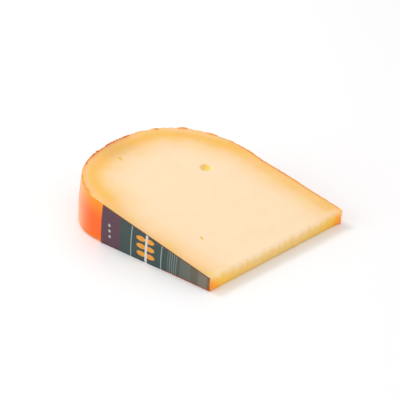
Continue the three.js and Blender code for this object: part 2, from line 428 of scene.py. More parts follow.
def build_wedge(settings):
    """The slice as one closed mesh: two cuts with their eyes, the rippled tip and the coated skin."""
    edge, torn_edge, tip_edge = (
        size / MM for size in (settings.edge_radius, settings.torn_edge_radius, settings.tip_edge_radius)
    )
    points, inward, room = outline()
    count = len(points)
    middle = SLICE_ANGLE / 2
    to_tip = points[:, 0] - tip_radius(points[:, 1], middle)
    tip = 1 - smooth(to_tip, 0.1, 0.9)
    near_tip = 1 - smooth(to_tip, 0.0, 6.0)
    from_ends = np.minimum(points[:, 1] - SKIN_INSET, WHEEL_HEIGHT - points[:, 1])
    soft = tip * smooth(from_ends, 0.6, 5.0)
    lip, torn = lip_profile(points, tip, settings)
    drawn_in = drawn_back(points)
    foot = 1.6 * smooth(points[:, 0], 130.5, 134) * (1 + 0.6 * (1 - smooth(points[:, 1], 18, 32)))
    top_edge = np.minimum(edge + (torn_edge - edge) * np.clip(drawn_in, torn, 1) + (tip_edge - edge) * soft, room)
    bare_corner = smooth(points[:, 1], 111, 114.5) * (points[:, 0] < 60)
    bottom_edge = np.minimum(edge + 0.4 * soft + 0.3 * torn + foot + bare_corner, room)
    quarter = np.radians(np.linspace(90, 0, 8))
    walls = 26
    rows = [(top_edge * (1 - math.cos(a)), top_edge * (1 - math.sin(a)), None) for a in quarter]
    rows += [(np.zeros(count), None, 1 - k / walls) for k in range(1, walls)]
    rows += [(bottom_edge * (1 - math.cos(a)), None, bottom_edge * (1 - math.sin(a))) for a in quarter[::-1]]
    wave = points[:, 1] / (settings.ripple_pitch / MM) * 2 * math.pi
    ripple = np.sin(wave + 1.3 * np.sin(wave / 4.6)) + 0.6 * np.sin(wave / 2.7)
    # The tip's trimmed colour grows in below its top edge: partly the older cut's own yellower colour, partly painted
    # shade, paler at the top and darker lower down. pale_edge moves where it starts, and its waves are a painted
    # highlight following the knife's waves
    fade = 2.4 * (0.6 + 0.4 * smooth(from_ends, 2, 14))
    marks = (0, 3, 6, 12, 25, 32, 92, 98, 105, 110, 112.5, 115)
    pale_edge = np.interp(points[:, 1], marks, (-0.6, -0.35, 0.05, -0.05, 0, 0.2, 0.2, 0.4, 0.1, 0.2, 1.4, 1.8))
    pale_edge += 0.32 * ripple + 0.3 * noise_at(np.column_stack((points, np.zeros(count))), 3.0, 8)
    tip_tint = np.clip(2.5 * tip, 0, 1)
    ripple = ripple * settings.ripple_height / MM / 2 * tip
    skin = Skin()
    for row, (inset, drop, rise) in enumerate(rows):
        fillet = min(row, len(rows) - 1 - row) / (len(quarter) - 1)
        wall_share = min(fillet, 1.0)
        share = 1 - row / (len(rows) - 1)
        lean = near_tip * (tip_radius(points[:, 1], SLICE_ANGLE * share) - tip_radius(points[:, 1], middle))
        ends = smooth(wall_share, 0.0, 1.0) * smooth(share, 0.0, 0.12) * (0.35 + 0.65 * float(smooth(share, 0.3, 0.95)))
        radius = points[:, 0] + lean + inward[:, 0] * inset - ripple * ends
        across = points[:, 1] + inward[:, 1] * inset
        full = radius * SLICE_ANGLE
        if drop is not None:
            height = full - drop
        elif row < len(rows) - len(quarter):
            height = bottom_edge + (full - top_edge - bottom_edge) * rise
        else:
            height = rise
        near_top = smooth(height - full, -2.2, -0.4) * (1 - tip)
        shrunk = 0.4 * drawn_in * smooth(height / full, 0.5, 1.0)
        stand = lip * near_top * (1 - smooth(inset, 0.3, 0.8))
        lean_out = 0.45 * np.maximum(lip - 0.5, 0) * near_top * (1 - smooth(inset, 0.2, 0.7))
        skin.add(
            radius=radius + inward[:, 0] * (shrunk - lean_out),
            across=across + inward[:, 1] * (shrunk - lean_out),
            height=height + stand,
            tip=tip_tint * (1 - np.exp(-np.maximum(full - height - pale_edge, 0) / fade)),
            eye=np.zeros(count),
        )
    faces = []
    for row in range(len(rows) - 1):
        for i in range(count):
            j = (i + 1) % count
            a, b = row * count, (row + 1) * count
            faces.append((a + i, a + j, b + j, b + i))
    total = len(rows) * count
    for eyes, first_row, upper in ((TOP_EYES, 0, True), (BOTTOM_EYES, len(rows) - 1, False)):
        ring = np.column_stack((skin.columns["radius"][first_row], skin.columns["across"][first_row]))
        real, sunk, inside, triangles = cap(ring, inward, eyes)
        real, sunk, inside = real[count:], sunk[count:], inside[count:]
        height = real[:, 0] * SLICE_ANGLE - sunk if upper else sunk
        none = np.zeros(len(height))
        skin.add(
            radius=real[:, 0],
            across=real[:, 1],
            height=height,
            tip=none,
            eye=inside,
        )
        start = first_row * count
        for triangle in triangles:
            corners = [start + v if v < count else total + v - count for v in triangle]
            faces.append(tuple(corners if not upper else reversed(corners)))
        total += len(height)
    radius, across, height = (skin.stacked(name) for name in ("radius", "across", "height"))
    places = place(radius, across, height / radius)
    return skin, places, faces, len(rows), len(quarter) - 1, points, tip


def outside_in(points, tip, radius, across):
    """Distance of each place from the skin, plain and as the rind's reach on each side makes it count,
    how near the labelled flat side is, the strength, redness and thinness of the coating's line, and how much paler the
    paste is beside it."""
    skin_points = points[tip < 0.5]
    on_flat = 1 - smooth(skin_points[:, 0], 112, 140)
    label_flat = on_flat * (skin_points[:, 1] < RIM_APEX)
    bare_flat = on_flat * (skin_points[:, 1] > RIM_APEX)
    strength, redness, paleness, thinness = line_strength(skin_points)
    plain, reckoned, by_label, line, red, thin, paler = [], [], [], [], [], [], []
    places = np.column_stack((radius, across))
    for chunk in np.array_split(places, max(1, len(places) // 2000)):
        gap = np.sqrt(((chunk[:, None] - skin_points[None]) ** 2).sum(2))
        on_label = 11.5 + 0.85 * gap
        on_bare = 10.2 + 0.22 * np.minimum(gap, 8) + 0.92 * np.maximum(gap - 8, 0)
        on_bare += 1.5 * (1 - smooth(chunk[:, :1], 65, 90)) * smooth(gap, 7, 12)
        counted = gap + (on_label - gap) * label_flat + (on_bare - gap) * bare_flat
        nearest = gap.argmin(1)
        skin_gap = gap.min(1)
        plain.append(skin_gap)
        reckoned.append(counted.min(1))
        paler.append(0.42 * paleness[nearest] * (1 - smooth(skin_gap, 2.5, 6.5)))
        by_label.append((np.exp(-gap / 3.5) * label_flat).max(1))
        line.append(strength[nearest])
        red.append(redness[nearest])
        thin.append(thinness[nearest])
    return [np.concatenate(found) for found in (plain, reckoned, by_label, line, red, thin, paler)]


def mesh_object(name, vertices, faces):
    """A mesh object at the origin, its faces pointing out and shaded smooth."""
    mesh = bpy.data.meshes.new(name)
    mesh.from_pydata([tuple(v) for v in vertices], [], faces)
    mesh.update()
    mesh.shade_smooth()
    made = bpy.data.objects.new(name, mesh)
    bpy.context.scene.collection.objects.link(made)
    return made


def store(mesh, name, values):
    """Keeps one number for each vertex under a name that materials can read."""
    attribute = mesh.attributes.new(name, "FLOAT", "POINT")
    attribute.data.foreach_set("value", np.ascontiguousarray(values, np.float32))


def paste_material(settings):
    """Gouda paste, cut with a knife: dense, slightly greasy and translucent, so it glows softly and has a dull sheen."""
    material, tree, shader = new_material("gouda_paste")
    place_out = add(tree, "ShaderNodeTexCoord").outputs["Object"]
    read = {
        name: add(tree, "ShaderNodeAttribute", attribute_name=name).outputs["Fac"]
        for name in (
            "from_rind", "from_skin", "from_end", "tip", "oily", "dry_patch_and_shade", "line", "red", "thin", "stain", "paler"
        )
    }
    # Uneven drying moves the band under the rind in and out by a millimetre or two
    drift = add(tree, "ShaderNodeTexNoise", {"Vector": place_out, "Scale": 50.0, "Detail": 2.0}).outputs["Fac"]
    amount = add(
        tree, "ShaderNodeMapRange", {"Value": read["from_rind"], "From Min": 2.0, "From Max": 12.0, "To Min": 0.5, "To Max": 7.0}
    ).outputs["Result"]
    centred = add(tree, "ShaderNodeMath", {0: drift, 1: 0.5}, operation="SUBTRACT").outputs[0]
    moved = add(tree, "ShaderNodeMath", {0: centred, 1: amount, 2: read["from_rind"]}, operation="MULTIPLY_ADD").outputs[0]
    share = add(tree, "ShaderNodeMath", {0: moved, 1: 34.0}, operation="DIVIDE", use_clamp=True).outputs[0]
    deep, pale, stained = (Vector(colour) for colour in (settings.under_rind, settings.heart, settings.stained))
    reach = ((0, 0.14), (2.8, 0.12), (4.2, 0.06), (6.8, 0.0), (8.6, 0.02), (10, 0.13), (13, 0.35), (16, 0.56), (20, 0.72), (26, 0.92), (34, 1.0))
    band = add(
        tree, "ShaderNodeValToRGB", {"Fac": share}, stops=[(d / 34, deep.lerp(pale, t)) for d, t in reach]
    ).outputs["Color"]
    ends = add(tree, "ShaderNodeMath", {0: read["from_end"], 1: 34.0}, operation="DIVIDE", use_clamp=True).outputs[0]
    end, side, main, torn = (
        Vector(colour)
        for colour in (settings.trimmed_end, settings.trimmed_side, settings.trimmed, settings.coating_torn)
    )
    trimmed = add(
        tree,
        "ShaderNodeValToRGB",
        {"Fac": ends},
        stops=[(0.01, end.lerp(torn, 0.75)), (0.018, end.lerp(stained, 0.2)), (0.04, end), (0.12, end.lerp(side, 0.5)), (0.2, side), (0.53, side.lerp(main, 0.6)), (1.0, main)],
    ).outputs["Color"]

    def mixed(factor, under, over):
        return add(tree, "ShaderNodeMix", {"Factor": factor, "A": under, "B": over}, data_type="RGBA").outputs["Result"]

    band = mixed(read["paler"], band, (*pale, 1.0))
    body = mixed(read["tip"], mixed(read["stain"], band, (*stained, 1.0)), trimmed)
    # The skin of an eye holds oil and is yellower
    body = mixed(read["oily"], body, (*settings.eye, 1.0))
    # One side of the rim is drier and browner, and the whole cut is faintly mottled
    cloud = add(tree, "ShaderNodeTexNoise", {"Vector": place_out, "Scale": 110.0, "Detail": 3.0}).outputs["Fac"]
    cloud = add(
        tree, "ShaderNodeMapRange", {"Value": cloud, "From Min": 0.3, "From Max": 0.7, "To Min": 0.985, "To Max": 1.015}
    ).outputs["Result"]
    body = add(tree, "ShaderNodeVectorMath", {0: body, "Scale": cloud}, operation="SCALE").outputs["Vector"]
    hue = add(tree, "ShaderNodeTexNoise", {"Vector": place_out, "Scale": 130.0, "Detail": 3.0, "Roughness": 0.6}).outputs["Fac"]
    hue = add(
        tree,
        "ShaderNodeValToRGB",
        {"Fac": hue},
        stops=[(0.36, (0.95, 0.99, 0.82)), (0.5, (0.99, 0.99, 0.98)), (0.64, (1.02, 0.97, 1.12))],
    ).outputs["Color"]
    tinted = add(tree, "ShaderNodeVectorMath", {0: body, 1: hue}, operation="MULTIPLY").outputs["Vector"]
    body = mixed(share, tinted, body)
    # Darker where one side of the rim is drier, with painted shade along the foot of the tip, and darker beside the
    # label
    darker = add(tree, "ShaderNodeVectorMath", {0: body, 1: (0.86, 0.86, 0.95)}, operation="MULTIPLY").outputs["Vector"]
    body = mixed(read["dry_patch_and_shade"], body, darker)
    # Between paste and coating runs a thin uneven line, brown where it is dry and redder where it tore
    ragged = add(tree, "ShaderNodeTexNoise", {"Vector": place_out, "Scale": 170.0, "Detail": 4.0}).outputs["Fac"]
    centre = add(tree, "ShaderNodeMath", {0: ragged, 1: 3.0, 2: -0.45}, operation="MULTIPLY_ADD").outputs[0]
    centre = add(tree, "ShaderNodeMath", {0: read["thin"], 1: -0.45, 2: centre}, operation="MULTIPLY_ADD").outputs[0]
    off = add(tree, "ShaderNodeMath", {0: read["from_skin"], 1: centre}, operation="SUBTRACT").outputs[0]
    off = add(tree, "ShaderNodeMath", {0: off}, operation="ABSOLUTE").outputs[0]
    off = add(tree, "ShaderNodeMath", {0: read["line"], 1: -0.42, 2: off}, operation="MULTIPLY_ADD").outputs[0]
    shown = add(
        tree, "ShaderNodeMapRange", {"Value": off, "From Min": -0.1, "From Max": 0.2, "To Min": 0.9, "To Max": 0.0}
    ).outputs["Result"]
    shown = add(tree, "ShaderNodeMath", {0: shown, 1: read["line"]}, operation="MULTIPLY", use_clamp=True).outputs[0]
    tone = add(tree, "ShaderNodeTexNoise", {"Vector": place_out, "Scale": 200.0, "Detail": 2.0}).outputs["Fac"]
    tone = add(tree, "ShaderNodeMapRange", {"Value": tone, "From Min": 0.4, "From Max": 0.6}).outputs["Result"]
    line_colour = mixed(tone, (*settings.coating_edge, 1.0), (*settings.coating_line, 1.0))
    line_colour = mixed(read["red"], line_colour, (*settings.coating_torn, 1.0))
    line_colour = mixed(read["thin"], line_colour, (*settings.coating_thin, 1.0))
    body = mixed(shown, body, line_colour)
    tree.links.new(body, shader.inputs["Base Color"])
    shader.inputs["Roughness"].default_value = 0.5
    shader.inputs["IOR"].default_value = 1.45
    shader.inputs["Specular IOR Level"].default_value = 0.35
    shader.inputs["Subsurface Weight"].default_value = 0.25
    shader.inputs["Subsurface Radius"].default_value = (1.0, 0.6, 0.25)
    shader.inputs["Subsurface Scale"].default_value = 2.0 * MM
    # The curd's grain is about 1.5 mm and the knife's drag lines about 0.8 mm apart
    grain = add(tree, "ShaderNodeTexNoise", {"Vector": place_out, "Scale": 650.0, "Detail": 3.0}).outputs["Fac"]
    dragged = add(tree, "ShaderNodeMapping", {"Vector": place_out, "Scale": (60.0, 1200.0, 60.0)}).outputs["Vector"]
    drag = add(tree, "ShaderNodeTexNoise", {"Vector": dragged, "Scale": 1.0, "Detail": 1.0}).outputs["Fac"]
    drawn = add(tree, "ShaderNodeMath", {0: read["tip"], 1: -0.4, 2: 0.4}, operation="MULTIPLY_ADD").outputs[0]
    relief = add(tree, "ShaderNodeMath", {0: drag, 1: drawn, 2: grain}, operation="MULTIPLY_ADD").outputs[0]
    bump = add(tree, "ShaderNodeBump", {"Height": relief, "Strength": 0.35, "Distance": 0.08 * MM})
    tree.links.new(bump.outputs["Normal"], shader.inputs["Normal"])
    return material


def coating_material(settings, name="pva_cheese_coating", main_colour=None):
    """Orange polyvinyl cheese coating, brushed on and dried: a smooth, slightly glossy plastic skin."""
    material, tree, shader = new_material(name)
    place_out = add(tree, "ShaderNodeTexCoord").outputs["Object"]
    from_top = add(tree, "ShaderNodeAttribute", attribute_name="from_top").outputs["Fac"]
    # Light comes through the paste near the upper cut, and the coating looks yellower there
    share = add(tree, "ShaderNodeMath", {0: from_top, 1: 12.0}, operation="DIVIDE", use_clamp=True).outputs[0]
    edge, main = main_colour or settings.coating_edge, settings.coating
    split = add(tree, "ShaderNodeSeparateXYZ", {"Vector": place_out}).outputs
    # Painted highlight: a pale colour on the coating, strongest about 5 to 20 mm from the labelled side where the rim
    # turns, standing in for the grazing reflection there
    across = add(
        tree,
        "ShaderNodeMapRange",
        {"Value": split["Y"], "From Min": LABEL_Y * MM, "From Max": (LABEL_Y + 40) * MM},
    ).outputs["Result"]
    turning = add(
        tree,
        "ShaderNodeValToRGB",
        {"Fac": across},
        stops=[(d, (t, t, t)) for d, t in ((0.02, 0), (0.12, 0.5), (0.22, 0.55), (0.38, 0.65), (0.5, 0.5), (0.8, 0.12), (1.0, 0.08))],
    ).outputs["Color"]
    light = add(
        tree,
        "ShaderNodeValToRGB",
        {"Fac": share},
        stops=[(d, (t, t, t)) for d, t in ((0.0, 1), (0.3, 0.75), (0.75, 0.2), (1.0, 0))],
    ).outputs["Color"]

    def mixed(factor, under, over):
        return add(tree, "ShaderNodeMix", {"Factor": factor, "A": under, "B": over}, data_type="RGBA").outputs["Result"]

    tint = mixed(light, (*main, 1.0), (*edge, 1.0))
    tint = mixed(turning, tint, (*settings.coating_painted_highlight, 1.0))
    # The rim rubs on what it stands on, and is duller and its coating thinner along its foot
    rubbed = add(
        tree,
        "ShaderNodeMapRange",
        {"Value": split["Z"], "From Min": 0.8 * MM, "From Max": 4.0 * MM, "To Min": 1.0, "To Max": 0.0},
    ).outputs["Result"]
    thinner = add(tree, "ShaderNodeMath", {0: rubbed, 1: 0.4}, operation="MULTIPLY").outputs[0]
    tint = mixed(thinner, tint, (*settings.coating_thin, 1.0))
    # Painted shade: the line of coating left bare under the label is made darker, standing in for the shade it lies in
    label_foot_shade = add(tree, "ShaderNodeAttribute", attribute_name="darkened").outputs["Fac"]
    tint = mixed(label_foot_shade, tint, (*[0.7 * c for c in settings.coating_torn], 1.0))
    patches = add(tree, "ShaderNodeTexNoise", {"Vector": place_out, "Scale": 90.0, "Detail": 3.0}).outputs["Fac"]
    uneven = add(
        tree, "ShaderNodeMapRange", {"Value": patches, "From Min": 0.3, "From Max": 0.7, "To Min": 0.94, "To Max": 1.04}
    ).outputs["Result"]
    body = add(tree, "ShaderNodeVectorMath", {0: tint, "Scale": uneven}, operation="SCALE").outputs["Vector"]
    tree.links.new(body, shader.inputs["Base Color"])
    gloss = add(
        tree, "ShaderNodeMapRange", {"Value": patches, "From Min": 0.3, "From Max": 0.7, "To Min": 0.3, "To Max": 0.42}
    ).outputs["Result"]
    gloss = add(tree, "ShaderNodeMath", {0: rubbed, 1: 0.4, 2: gloss}, operation="MULTIPLY_ADD").outputs[0]
    tree.links.new(gloss, shader.inputs["Roughness"])
    shine = add(tree, "ShaderNodeMath", {0: rubbed, 1: -0.24, 2: 0.27}, operation="MULTIPLY_ADD").outputs[0]
    tree.links.new(shine, shader.inputs["Specular IOR Level"])
    # Seen at a low angle the dusty skin turns pale
    dust = add(tree, "ShaderNodeMath", {0: rubbed, 1: -0.55, 2: 0.6}, operation="MULTIPLY_ADD").outputs[0]
    tree.links.new(dust, shader.inputs["Sheen Weight"])
    shader.inputs["IOR"].default_value = 1.47
    shader.inputs["Sheen Roughness"].default_value = 0.35
    shader.inputs["Sheen Tint"].default_value = (1.0, 0.72, 0.5, 1.0)
    shader.inputs["Subsurface Weight"].default_value = 0.12
    shader.inputs["Subsurface Radius"].default_value = (1.0, 0.4, 0.15)
    shader.inputs["Subsurface Scale"].default_value = 1.5 * MM
    # Brush marks about 3 mm apart run round the rim, over a finer orange-peel
    brushed = add(tree, "ShaderNodeMapping", {"Vector": place_out, "Scale": (120.0, 330.0, 120.0)}).outputs["Vector"]
    brush = add(tree, "ShaderNodeTexNoise", {"Vector": brushed, "Scale": 1.0, "Detail": 2.0}).outputs["Fac"]
    peel = add(tree, "ShaderNodeTexNoise", {"Vector": place_out, "Scale": 900.0, "Detail": 2.0}).outputs["Fac"]
    relief = add(tree, "ShaderNodeMath", {0: peel, 1: 0.3, 2: brush}, operation="MULTIPLY_ADD").outputs[0]
    bump = add(tree, "ShaderNodeBump", {"Height": relief, "Strength": 0.3, "Distance": 0.25 * MM})
    tree.links.new(bump.outputs["Normal"], shader.inputs["Normal"])
    return material


class GOUDA_OT_cheese(bpy.types.Operator):
    """Build the slice of cheese with its coated skin"""

    bl_idname = "gouda.cheese"
    bl_label = "Cheese"

    def execute(self, context):
        settings = context.scene.gouda_cheese
        skin, vertices, faces, rows, fillet, points, tip = build_wedge(settings)
        radius, across, height = (skin.stacked(name) for name in ("radius", "across", "height"))
        from_skin, from_rind, by_label, line, red, thin, paler = outside_in(points, tip, radius, across)
        count = len(points)
        side = slice(0, rows * count)
        coated = np.tile(1 - tip, rows) * np.repeat([float(fillet <= r < rows - fillet) for r in range(rows)], count)
        on_rim = smooth(radius[side], 134, 150)
        vertices[side, 0] += noise_at(vertices[side] / MM, 16, 2) * settings.coat_waviness * coated * on_rim
        piece = mesh_object("cheese_wedge", vertices, faces)
        mesh = piece.data
        store(mesh, "from_skin", from_skin)
        by_bare = smooth(across, 80, 100) * (1 - smooth(from_skin, 3, 8))
        by_corner = (across < RIM_APEX) * (1 - smooth(from_skin, 4, 9))
        raised = 0.55 + 0.45 * np.clip(height / 6, 0, 1)
        raised += by_corner * np.interp(height, (3.3, 5.3, 7.5), (0, 0.4, 1.3))
        store(mesh, "from_end", from_skin * (1 - 0.55 * by_bare) * raised)
        store(mesh, "from_rind", from_rind)
        store(mesh, "red", red)
        store(mesh, "thin", thin)
        deep = np.maximum(radius * SLICE_ANGLE - height, 0)
        # Painted highlight: the tip's upper edge near both ends is made paler, standing in for the light it catches
        to_tip = radius - tip_radius(across, height / radius)
        tip_edge_highlight = (1 - smooth(to_tip, 1, 5)) * np.exp(-deep / 2.5)
        from_side = np.minimum(across, WHEEL_HEIGHT - across)
        tip_edge_highlight *= (0.3 + 0.7 * smooth(from_side, 1, 6)) * (1 - smooth(from_side, 10, 30))
        store(mesh, "paler", np.maximum(paler, 0.5 * tip_edge_highlight))
        darkened = smooth(radius, 118, 130) * smooth(across, 24, 32) * (1 - smooth(across, 58, 66))
        stain = (0.4 + 0.5 * darkened) * (1 - smooth(from_skin, 0.8 + 0.4 * darkened, 4.2)) * np.minimum(line, 1)
        store(mesh, "stain", np.maximum(stain, 0.4 * paler) * (1 - smooth(by_label, 0.3, 0.7)))
        store(mesh, "tip", skin.stacked("tip"))
        oily = skin.stacked("eye")
        for spot_radius, spot_across, strength in OILY_SPOTS:
            spot = np.exp(-(((radius - spot_radius) / 2.6) ** 2) - ((across - spot_across) / 1.7) ** 2)
            oily = np.maximum(oily, strength * spot * (1 - smooth(deep, 0.5, 2)))
        store(mesh, "oily", oily)
        dry = np.exp(-(((radius - 167.5) / 8) ** 2) - ((across - 47) / 15) ** 2)
        # Painted shade on the tip's face along its foot, where it meets the floor; beside the label the paste is made
        # darker too
        floor_shade = 0.8 * skin.stacked("tip") * (1 - smooth(height, 0.3, 2.2))
        store(mesh, "dry_patch_and_shade", np.maximum(np.maximum(dry, floor_shade), 0.7 * by_label))
        # Painted shade: the coating's foot under the label is marked for darkening, standing in for the shade there
        shade_under_label = (1 - smooth(across, 0.6, 1.2)) * (1 - smooth(height, 0.6, 1.6)) * (1 - smooth(radius, 96, 116))
        store(mesh, "darkened", shade_under_label)
        store(mesh, "line", line * (1 - smooth(by_label, 0.3, 0.7)))
        store(mesh, "from_top", deep)
        mesh.materials.append(paste_material(settings))
        mesh.materials.append(coating_material(settings))
        slots = np.zeros(len(faces), np.int32)
        for row in range(fillet - 2, rows - 3):
            coated = (tip < 0.5) & (np.roll(tip, -1) < 0.5)
            labelled = (points[:, 1] < SKIN_INSET + 0.5) & (points[:, 0] < LABEL_RADIUS)
            slots[row * count : (row + 1) * count] = coated & ~(labelled & (row < fillet))
        mesh.polygons.foreach_set("material_index", slots)
        mesh.update()
        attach(piece, "root")
        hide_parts("cheese")
        return {"FINISHED"}


def flake_tree(material):
    """Sets crumbs of coating on points: random turns and sizes from a seed, made real and given their material."""
    tree = bpy.data.node_groups.new("coating_flakes", "GeometryNodeTree")
    tree.interface.new_socket("Geometry", in_out="INPUT", socket_type="NodeSocketGeometry")
    tree.interface.new_socket("Flake size", in_out="INPUT", socket_type="NodeSocketFloat")
    tree.interface.new_socket("Seed", in_out="INPUT", socket_type="NodeSocketInt")
    tree.interface.new_socket("Geometry", in_out="OUTPUT", socket_type="NodeSocketGeometry")
    given = add(tree, "NodeGroupInput").outputs
    crumb = add(tree, "GeometryNodeMeshIcoSphere", {"Radius": 1.0, "Subdivisions": 2}).outputs["Mesh"]
    lumps = add(tree, "ShaderNodeTexNoise", {"Scale": 1.3}).outputs["Color"]
    lumps = add(tree, "ShaderNodeVectorMath", {0: lumps, 1: (0.5, 0.5, 0.5)}, operation="SUBTRACT").outputs["Vector"]
    crumb = add(tree, "GeometryNodeSetPosition", {"Geometry": crumb, "Offset": lumps}).outputs["Geometry"]
    sizes = add(
        tree,
        "FunctionNodeRandomValue",
        {"Min": (0.35, 0.5, 0.25), "Max": (0.9, 1.6, 0.7), "Seed": given["Seed"]},
        data_type="FLOAT_VECTOR",
    ).outputs["Value"]
    bulk = add(tree, "GeometryNodeInputNamedAttribute", {"Name": "bulk"}, data_type="FLOAT").outputs["Attribute"]
    bulk = add(tree, "ShaderNodeMath", {0: bulk, 1: given["Flake size"]}, operation="MULTIPLY").outputs[0]
    sizes = add(tree, "ShaderNodeVectorMath", {0: sizes, "Scale": bulk}, operation="SCALE").outputs["Vector"]
    turns = add(
        tree,
        "FunctionNodeRandomValue",
        {"Min": (-0.5, -0.5, -0.7), "Max": (0.5, 0.5, 0.7), "Seed": given["Seed"]},
        data_type="FLOAT_VECTOR",
    ).outputs["Value"]
    spread = add(
        tree,
        "GeometryNodeInstanceOnPoints",
        {"Points": given["Geometry"], "Instance": crumb, "Rotation": turns, "Scale": sizes},
    ).outputs["Instances"]
    real = add(tree, "GeometryNodeRealizeInstances", {"Geometry": spread}).outputs["Geometry"]
    smoothed = add(tree, "GeometryNodeSetShadeSmooth", {"Geometry": real}).outputs["Geometry"]
    finished = add(tree, "GeometryNodeSetMaterial", {"Geometry": smoothed, "Material": material}).outputs["Geometry"]
    add(tree, "NodeGroupOutput", {"Geometry": finished})
    return tree


class GOUDA_OT_flakes(bpy.types.Operator):
    """Set the crumbs of coating that cling along the torn edge"""

    bl_idname = "gouda.flakes"
    bl_label = "Coating flakes"

    def execute(self, context):
        settings = context.scene.gouda_cheese
        points, inward, _ = outline()
        generator = np.random.default_rng(11)
        strength = line_strength(points)[0] * (points[:, 1] > 26) * (points[:, 0] > 46)
        strength *= smooth(points[:, 0], 125, 140) * (1 - 0.9 * smooth(points[:, 1], 62, 72))
        chosen = generator.choice(len(points), settings.flake_count, replace=False, p=strength / strength.sum())
        nearest = [np.hypot(points[:, 0] - r, points[:, 1] - v).argmin() for r, v in DARK_FLAKES]
        chosen = np.concatenate((chosen, nearest))
        bulk = np.ones(len(chosen))
        bulk[-len(nearest):] = 3.0
        inset = generator.uniform(0.25, 0.7, len(chosen)) + 0.4 * drawn_back(points)[chosen]
        radius = points[chosen, 0] + inward[chosen, 0] * inset
        across = points[chosen, 1] + inward[chosen, 1] * inset
        height = radius * SLICE_ANGLE + generator.uniform(-0.1, 0.25, len(chosen))
        seeds = mesh_object("coating_flakes", place(radius, across, height / radius), [])
        store(seeds.data, "bulk", bulk)
        tree = flake_tree(coating_material(settings, "torn_cheese_coating", settings.coating_torn))
        modifier = seeds.modifiers.new("flakes", "NODES")
        modifier.node_group = tree
        values = {"Flake size": settings.flake_size, "Seed": 5}
        for socket in tree.interface.items_tree:
            if socket.in_out == "INPUT" and socket.name in values:
                modifier[socket.identifier] = values[socket.name]
        evaluated = seeds.evaluated_get(context.evaluated_depsgraph_get())
        mesh = bpy.data.meshes.new_from_object(evaluated)
        seeds.modifiers.clear()
        seeds.data = mesh
        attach(seeds, "root")
        return {"FINISHED"}


